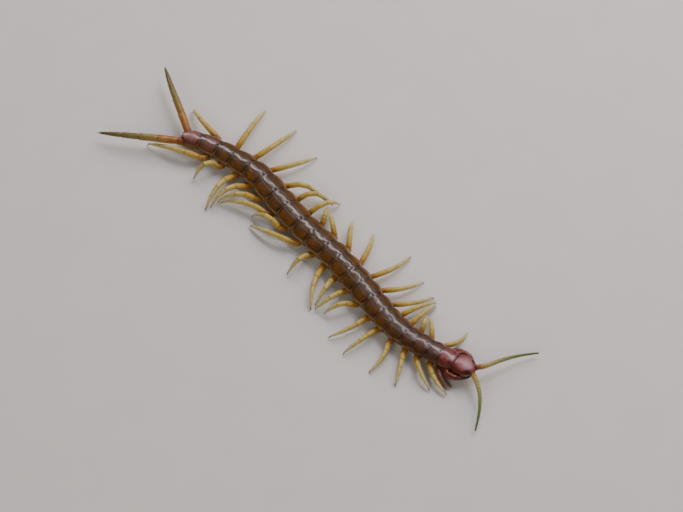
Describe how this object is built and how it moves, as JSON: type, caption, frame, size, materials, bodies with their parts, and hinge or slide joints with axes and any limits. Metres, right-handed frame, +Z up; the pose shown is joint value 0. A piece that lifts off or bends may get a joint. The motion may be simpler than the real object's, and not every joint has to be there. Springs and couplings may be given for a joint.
{
  "type": "centipede",
  "caption": "Giant centipede walking on level ground: long plated body with legs down both sides, rounded head with curved venom claws and feelers, and a trailing pair of long last legs.",
  "frame": {"origin": "the middle of the animal's box, on the floor that it walks on", "axes": "+X from the tail to the head, +Y to the animal's left, +Z up"},
  "size_m": [0.179, 0.0546, 0.0078],
  "materials": {
    "back_plates": "polished dark red-brown shell with pale edges and a lilac shine along the back",
    "head_plate": "polished maroon shell",
    "venom_claws": "glossy dark red shell with black tips",
    "walking_legs": "waxy amber shell that pales to cream at the tips",
    "last_legs": "waxy orange shell that turns olive towards the tips",
    "feelers": "smooth orange base, then fine-haired olive-green beads"
  },
  "bodies": {
    "root": {"antenna_left": "feelers", "antenna_right": "feelers", "chin_plate": "venom_claws", "head": "head_plate", "leg_01_left": "walking_legs", "leg_01_right": "walking_legs", "leg_02_left": "walking_legs", "leg_02_right": "walking_legs", "leg_03_left": "walking_legs", "leg_03_right": "walking_legs", "leg_04_left": "walking_legs", "leg_04_right": "walking_legs", "leg_05_left": "walking_legs", "leg_05_right": "walking_legs", "leg_06_left": "walking_legs", "leg_06_right": "walking_legs", "leg_07_left": "walking_legs", "leg_07_right": "walking_legs", "leg_08_left": "walking_legs", "leg_08_right": "walking_legs", "leg_09_left": "walking_legs", "leg_09_right": "walking_legs", "leg_10_left": "walking_legs", "leg_10_right": "walking_legs", "leg_11_left": "walking_legs", "leg_11_right": "walking_legs", "leg_12_left": "walking_legs", "leg_12_right": "walking_legs", "leg_13_left": "walking_legs", "leg_13_right": "walking_legs", "leg_14_left": "walking_legs", "leg_14_right": "walking_legs", "leg_15_left": "walking_legs", "leg_15_right": "walking_legs", "leg_16_left": "walking_legs", "leg_16_right": "walking_legs", "leg_17_left": "walking_legs", "leg_17_right": "walking_legs", "leg_18_left": "walking_legs", "leg_18_right": "walking_legs", "leg_19_left": "walking_legs", "leg_19_right": "walking_legs", "leg_20_left": "walking_legs", "leg_20_right": "walking_legs", "leg_21_left": "last_legs", "leg_21_right": "last_legs", "trunk_01_02": "back_plates", "trunk_03_04": "back_plates", "trunk_05_06": "back_plates", "trunk_07_08": "back_plates", "trunk_09_10": "back_plates", "trunk_11_12": "back_plates", "trunk_13_14": "back_plates", "trunk_15_16": "back_plates", "trunk_17_18": "back_plates", "trunk_19_20": "back_plates", "trunk_21": "back_plates", "venom_claw_left": "venom_claws", "venom_claw_right": "venom_claws"}
  },
  "joints": []
}
